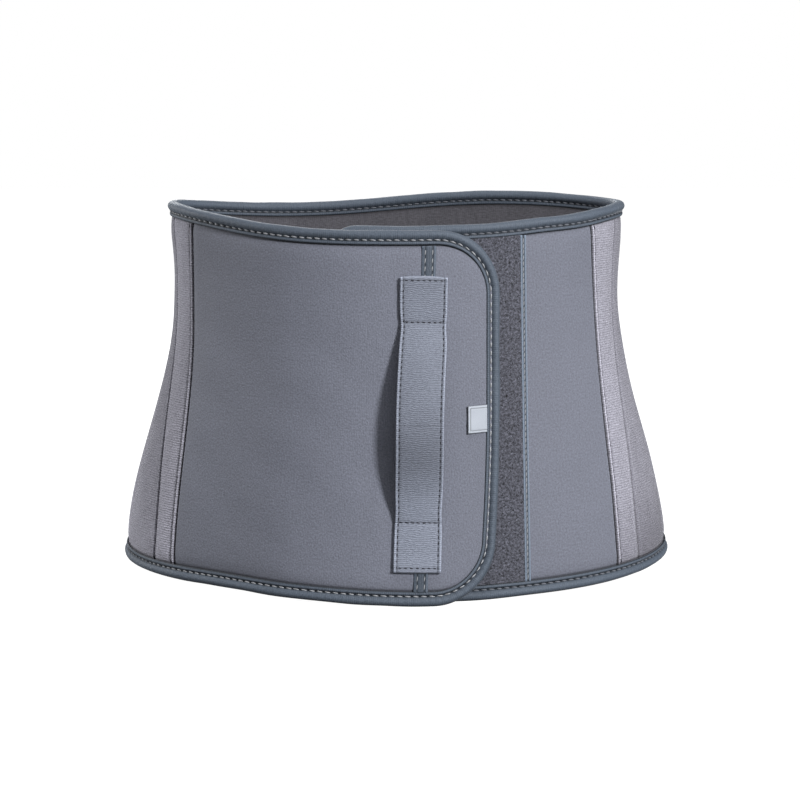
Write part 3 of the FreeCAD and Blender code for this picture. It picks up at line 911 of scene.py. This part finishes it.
def build_side(name, seams, styles):
    """One side, from its front seam (1) round to the back seam (4)."""
    one, two, three, four = seams
    body = f"{name}_side"
    left = name == "left"
    bend = "flap" if left else "underlap"
    # Painted light and shade: each side is lighter or darker low down and round the waist, standing
    # in for how the light falls on it.
    low_tone, waist_tone = (0.26, -0.12) if left else (-0.24, 0.0)

    def ordered(first, last):
        return (last, first) if left else (first, last)

    def strip(part, ends, motion, style, stands_for, swell, tone):
        patch = tube_patch(ordered(*ends), spacing=2.6, gap=0.1)
        painted_light = low_tone * smooth((70 - patch.z) / 60) + waist_tone * bell(patch.z, 125, 35)
        soft_panel(f"{name}_{part}_velour", patch, VELOUR, motion, ordered(*style),
                   stands_for, swell=swell, wave=(0.24, 30, 90), tone=tone + painted_light)

    # The front strip is painted lighter and the middle strip darker, standing in for light and
    # shade.
    strip("front", (one, two), bend, styles[0], (f"{name}_front_strip",), 0.9, 0.14)
    strip("middle", (two, three), f"on_{body}", styles[1],
          (f"{name}_middle_strip", f"{body}_core"), 0.9, -0.13)
    strip("rear", (three, four), body, styles[2], (f"{name}_rear_strip",), 0.5, 0)
    lining(f"{name}_front_lining_cloth", tube_patch(ordered(one, two), gap=-LINING_LAP), bend, ())
    lining(f"{name}_side_lining_cloth", tube_patch(ordered(two, four), gap=-LINING_LAP), body,
           (f"{body}_lining",))
    rim_bindings(name, body, body, *ordered(two, four))
    sewn_row(f"{name}_welt_stitches", one, -3.0 if left else 3.0, bend)


def build_flap():
    rims = panel_rims("flap", PANEL_INSET)
    free_edge = at_x(lambda z: flap_edge_x(z) - PANEL_INSET)
    patch = Patch("flap", left_1, free_edge, rims)
    x = skin("flap", patch.angle, patch.z)[..., 0]
    # Painted light: the flap is lighter toward its middle, most round x = -20, standing in for light
    # from the right.
    painted_light = 0.03 * smooth((x + 100) / 70) + 0.08 * bell(x, -20, 35)
    soft_panel("flap_panel", patch, JERSEY, "flap", ("plain", "edge"),
               ("flap_cover", "flap_core"), held=((-5, 36), (44, 58)), tone=painted_light + 0.01)
    lining("flap_lining_cloth", patch, "flap", ("flap_lining",))
    binding("flap_edge", "flap", panel_path("flap", left_2), "flap", ("flap_binding",),
            LIGHT_THREAD)
    tape("flap_tape", "flap", at_x(lambda z: 14.2 + 6.3 * z / HEIGHT), 9.2, 8.2, 219.5, BINDING,
         "on_flap", ("flap_stay_tape",), "binding", rows=(0.49,), base_k=0.2, thick=0.8,
         edge_highlight_and_wear=0.7)


def build_underlap():
    rims = panel_rims("underlap", PANEL_INSET)
    patch = Patch("tube", at_x(UNDERLAP_EDGE + PANEL_INSET), right_1, rims)
    soft_panel("underlap_panel", patch, JERSEY, "underlap", ("edge", "plain"),
               ("underlap_cover", "underlap_core"), held=((-1, 85),))
    lining("underlap_lining_cloth", patch, "underlap", ("underlap_lining",))
    binding("underlap_edge", "tube", panel_path("underlap", right_2), "underlap",
            ("underlap_binding",))
    tape("underlap_edge_stitch_tape", "tube", at_x(lambda z: 82.4 - 3.2 * z / 222), 4.2, 9.4, 223.8,
         BINDING, "on_underlap", ("underlap_edge_tape",), "binding", rows=(0.0,), base_k=0.3,
         thick=0.65, groove=0.45, edge_highlight_and_wear=1.3, pitch=3.6, tone=0.5)
    loop_strip()


def loop_strip():
    """The loop fabric that the flap's hooks grip: a real, curly pile."""
    x = np.arange(2.0, 79.6, 0.8)
    share, across = np.meshgrid(np.linspace(0, 1, 268), x, indexing="ij")
    low = low_rim(front_angle(across, 9.0)) + BINDING_EDGE + 0.1
    high = underlap_top(front_angle(across, 222.0)) - BINDING_EDGE - 0.1
    level = low + (high - low) * share
    angle = front_angle(across - 3.2 * (level / 222 - 1) * smooth((across - 40) / 35), level)
    rough = chance.uniform(-1, 1, level.shape)
    rough = rough + 0.3 * waves(across, level, 1, 1.8, 3, 14)
    k = 0.5 + 0.28 * rough
    k[:, 0] = k[:, -1] = 0.15
    uv = np.stack([across, level], -1)
    # Painted light and shade: the pile is lighter where it stands high and darker where it is low.
    piece = slab("loop_strip", place("tube", angle, level, k),
                 place("tube", angle, level, -0.3 + 0 * k), uv, LOOP,
                 {"painted_light_and_tone": 0.35 * np.clip(rough, 0, 1), "shade": np.clip(-0.25 * rough, 0, 0.6)})
    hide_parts("underlap_loop_strip")
    follow(piece, "on_underlap")


def hook_strip():
    """Rows of moulded hooks on a thin base, inside the flap."""
    x = np.arange(22.0, 50.01, 0.7)
    z = np.arange(26.0, 200.01, 0.7)
    level, across = np.meshgrid(z, x, indexing="ij")
    peaks = (np.arange(len(x)) % 2)[None] * (np.arange(len(z)) % 2)[:, None]
    k = -4.75 - 0.55 * peaks
    angle = front_angle(across + 0.12 * peaks, level)
    uv = np.stack([across, level], -1)
    # Painted shade on the base between the hooks.
    piece = slab("hook_strip", place("flap", angle, level, -4.0 + 0 * k),
                 place("flap", angle, level, k), uv, HOOK, {"shade": 0.6 * (1 - peaks)})
    enlist(piece, "on_flap", ("flap_hook_strip",))
    z = np.arange(28.0, 198.0, 1.0)
    lines = []
    for x_row in (23.2, 48.8):
        angle = front_angle(x_row, z)
        lines.append((place("flap", angle, z, -4.9 + 0 * z), -normal("flap", angle, z)))
    sew("hook_strip_stitches", lines, GREY_THREAD, "hook", "on_flap")


# ------ handle and label
STRAP_WIDTH, STRAP_THICK = 29.6, 1.7
STRAP_LOW, STRAP_HIGH = 20.8, 201.6
STRAP_SEAM_LOW, STRAP_SEAM_HIGH = 51.3, 173.2
STRAP_LOW_X, STRAP_LEAN = 12.4, 0.0247
STRAP_BOW = 12.6
STRAP_ROW, STRAP_SELVEDGE = 0.855, 0.955  # places across the webbing, of 1


def strap_face(across, z):
    """The webbing's outer face: across is -1 to 1 over its width, z the height."""
    width = STRAP_WIDTH * (1 - 0.05 * bell(z, STRAP_SEAM_HIGH - 3, 7)
                           - 0.035 * bell(z, STRAP_SEAM_LOW + 6, 9))
    x = STRAP_LOW_X + STRAP_LEAN * (z - STRAP_LOW) + across * width / 2
    x = x - 0.6 * bell(z, 120, 28) + 0.5 * bell(z, 165, 16)
    level = z - STRAP_LEAN * across * STRAP_WIDTH / 2
    low, high, rest = [skin("flap", front_angle(x, height), height)[..., 1] for height in
                       (STRAP_SEAM_LOW + 0 * x, STRAP_SEAM_HIGH + 0 * x, level)]
    share = np.clip((z - STRAP_SEAM_LOW) / (STRAP_SEAM_HIGH - STRAP_SEAM_LOW), 0, 1)
    chord = low + (high - low) * share
    free = smooth(share / 0.12) * smooth((1 - share) / 0.12)
    y = rest + (chord - rest) * free
    y = y - 1.0 - STRAP_THICK - STRAP_BOW * np.sin(PI * share) ** 1.15
    y = y + 0.5 * across ** 2 * free + 0.5 * across * np.sin(2 * PI * share)
    return np.stack(np.broadcast_arrays(x, y, level), -1)


def strap_normal(across, z):
    d = 0.02
    side = strap_face(across + d, z) - strap_face(across - d, z)
    up = strap_face(across, z + 0.4) - strap_face(across, z - 0.4)
    return unit(np.cross(side, up))


def strap_line(across, z, rise):
    """Points above the webbing's face, and normals, at places across it and up it."""
    n = strap_normal(across, z)
    return strap_face(across, z) + rise * n, n


def strap_half(name, z_low, z_high, end_z, stands_for):
    """Half of the handle: a closed strip of webbing with a folded hem at its sewn end."""
    lower = end_z == STRAP_LOW
    span = z_high - z_low
    rows = np.linspace(z_low, z_high, round(span / 0.9) + 1)[:, None]
    front = np.concatenate([np.linspace(-1, -0.86, 7), np.linspace(-0.8, 0.8, 27),
                            np.linspace(0.86, 1, 7)])
    across = np.concatenate([front[::-1], front])
    inner = np.arange(len(across)) >= len(front)
    edge = np.sqrt(np.clip(1 - ((np.abs(across) - 0.965) / 0.035).clip(0, 1) ** 2, 0, 1))
    selvedge = 0.16 * bell(np.abs(across), STRAP_SELVEDGE, 0.03)
    line = -0.3 * bell(np.abs(across), STRAP_ROW, 0.03)
    half = STRAP_THICK / 2
    from_end = np.abs(rows - end_z)
    hem = 0.4 * (1 - smooth((from_end - 2.0) / 9))
    hem_line = -0.35 * bell(from_end, 3.0, 0.5)
    cross_z = STRAP_SEAM_LOW if lower else STRAP_SEAM_HIGH
    cross_line = -0.3 * bell(rows, cross_z, 0.55)
    top = edge * (half + selvedge + line + hem + hem_line + cross_line)
    out = np.where(inner, -half * edge, top) * smooth((from_end + 0.25) / 1.2)
    z = rows + 0 * across
    a = across + 0 * rows
    arch = across ** 2 * bell(from_end, 0, 3) * (0 if lower else -1)
    face, n = strap_face(a, z + arch), strap_normal(a, z + arch)
    points = face + (out - half)[..., None] * n
    uv = np.stack([a * STRAP_WIDTH / 2, z], -1)
    # Lighter along the selvedges and at the folded ends. Painted light makes the lower part and the
    # top lighter, and painted shade a darker band round z 96, standing in for light from above on
    # the bowed strap.
    painted_light_and_tone = 0.9 * bell(np.abs(across), STRAP_SELVEDGE, 0.03) + 0.22 * (from_end < 1.4)
    painted_light_and_tone = painted_light_and_tone + 0.34 * smooth((92 - rows) / 30) + 0.16 * bell(rows, 61, 9)
    painted_light_and_tone = painted_light_and_tone + 0.08 * smooth((rows - 150) / 30) - 0.16 * bell(rows, 96, 20)
    # Darker along the stitch rows, the hem and the cross row: painted shade in their grooves.
    dark = 0.6 * bell(np.abs(across), STRAP_ROW, 0.022) + 0.5 * bell(from_end, 3.0, 0.45)
    dark = np.clip(dark + 0.45 * bell(rows, cross_z, 0.5), 0, 0.85) * ~inner
    piece = sleeve(name, points, uv, WEBBING, {"painted_light_and_tone": painted_light_and_tone, "shade": dark})
    enlist(piece, name, stands_for)
    up, along = np.arange(z_low + 1.5, z_high - 0.5, 0.9), np.linspace(-0.85, 0.85, 40)
    lines = [strap_line(side * STRAP_ROW + 0 * up, up, -0.12) for side in (-1, 1)]
    for z_row, rise in ((cross_z, 0.0), (end_z + (3.0 if lower else -3.0), 0.25)):
        lines.append(strap_line(along, z_row + 0 * along, rise))
    sew(f"{name}_stitches", lines, DARK_THREAD, "webbing", name, length=2.5, width=0.7, height=0.5,
        pitch=3.7)


def build_handle():
    point, axis = joint_axis("handle_swing")
    low = point + axis * (STRAP_SEAM_LOW - point[2]) / axis[2]
    high = point + axis * (STRAP_SEAM_HIGH - point[2]) / axis[2]
    middle = (low + high) / 2
    middle_z = float(middle[2])
    for name, sewn_end, z_low, z_high, end_z, stands_for in (
            ("handle_lower_webbing", low, STRAP_LOW, middle_z + END_LAP, STRAP_LOW,
             ("handle_lower_end", "handle_span")),
            ("handle_upper_webbing", high, middle_z, STRAP_HIGH, STRAP_HIGH,
             ("handle_upper_end",))):
        bend_to = sewn_end + (middle - sewn_end) * 0.8
        BENDS[name] = ("flap", "handle", (tuple(sewn_end * MM), tuple(bend_to * MM)))
        strap_half(name, z_low, z_high, end_z, stands_for)


def build_label():
    """A small plain satin label, sewn in under the flap's edge binding."""
    left, right, low, high = 43.7, 55.8, 104.0, 120.8
    v, u = np.meshgrid(np.linspace(0, 1, 33), np.linspace(0, 1, 25), indexing="ij")
    x = left + (right - left) * u
    level = low + (high - low) * v + 0.5 * u
    edge = np.minimum(np.minimum(u * (right - left), 9), np.minimum(v, 1 - v) * (high - low))
    k = 0.75 + 0.35 * smooth(edge / 0.5) + 0.9 * (1 - u) ** 2 - 0.18 * bell(edge, 1.5, 0.35)
    k = k + 0.12 * np.sin(2.2 * PI * v) * (1 - u)
    angle = front_angle(x, level)
    uv = np.stack([x, level], -1)
    # Painted shade in the groove 1.5 mm in from the edge and along the label's outline; the border
    # is lighter.
    shade = 0.7 * bell(edge, 1.5, 0.25) + 0.9 * (edge < 0.12)
    piece = slab("side_label_cloth", place("flap", angle, level, k),
                 place("flap", angle, level, k - 0.7), uv, LABEL,
                 {"painted_light_and_tone": 0.12 * (edge < 1.1), "shade": np.clip(shade, 0, 1)})
    enlist(piece, "on_label", ("side_label",))


# ------ camera, light and floor
def build_camera(aim=(2.5, CENTRE_Y, 105.6), azimuth=-0.3, elevation=10.1, distance=1253, lens=83):
    data = bpy.data.cameras.new("camera")
    data.lens = lens
    data.sensor_width = 36
    data.clip_end = 50
    camera = bpy.data.objects.new("camera", data)
    a, e = math.radians(azimuth), math.radians(elevation)
    back = Vector((math.sin(a) * math.cos(e), -math.cos(a) * math.cos(e), math.sin(e)))
    camera.location = Vector(aim) * MM + back * distance * MM
    camera.rotation_euler = (-back).to_track_quat("-Z", "Y").to_euler()
    bpy.context.scene.collection.objects.link(camera)
    bpy.context.scene.camera = camera


def area_light(name, spot, size, power, aim=(0, 0, 0.11)):
    data = bpy.data.lights.new(name, "AREA")
    data.size = size
    data.energy = power
    lamp = bpy.data.objects.new(name, data)
    lamp.location = spot
    lamp.rotation_euler = (Vector(aim) - Vector(spot)).to_track_quat("-Z", "Y").to_euler()
    bpy.context.scene.collection.objects.link(lamp)


def build_studio():
    world = bpy.data.worlds.new("studio")
    world.use_nodes = True
    sky = world.node_tree.nodes["Background"]
    sky.inputs["Color"].default_value = (1, 1, 1, 1)
    seen = world.node_tree.nodes.new("ShaderNodeLightPath")
    strength = world.node_tree.nodes.new("ShaderNodeMapRange")
    strength.inputs["To Min"].default_value = 0.07
    strength.inputs["To Max"].default_value = 1.0
    world.node_tree.links.new(seen.outputs["Is Camera Ray"], strength.inputs["Value"])
    world.node_tree.links.new(strength.outputs[0], sky.inputs["Strength"])
    bpy.context.scene.world = world
    area_light("key", (1.2, -1.35, 1.1), 0.3, 43)
    area_light("left_rim", (-1.15, 0.3, 0.42), 0.6, 9.5)
    area_light("top", (0.1, -0.25, 1.7), 0.8, 14)
    area_light("back", (-0.4, 1.6, 0.9), 0.8, 14)
    bpy.ops.mesh.primitive_plane_add(size=8, location=(0, 0, -0.0005))
    floor = bpy.context.object
    floor.name = "floor"
    p = Paint("floor_paint")
    p.colour((132, 132, 132), (p.noise(3, 3), 0.01), marked=False)
    seen = p.node("ShaderNodeLightPath").outputs["Is Camera Ray"]
    p.feed(p.shader, {"Emission Color": (1, 1, 1, 1), "Emission Strength": seen})
    floor.data.materials.append(p.finish(0.8, specular=0.1))


build_camera()
build_studio()
build_back()
build_side("left", (left_1, left_2, left_3, left_4),
           (("welt", "plain"), ("plain", "soft"), ("soft", "plain")))
build_side("right", (right_1, right_2, right_3, right_4),
           (("bright welt", "soft"), ("soft", "soft"), ("soft", "plain")))
build_flap()
build_underlap()
hook_strip()
build_handle()
build_label()
for thing in frame["nodes"].values():
    thing.data.materials.clear()
    thing.data.materials.append(STEEL)
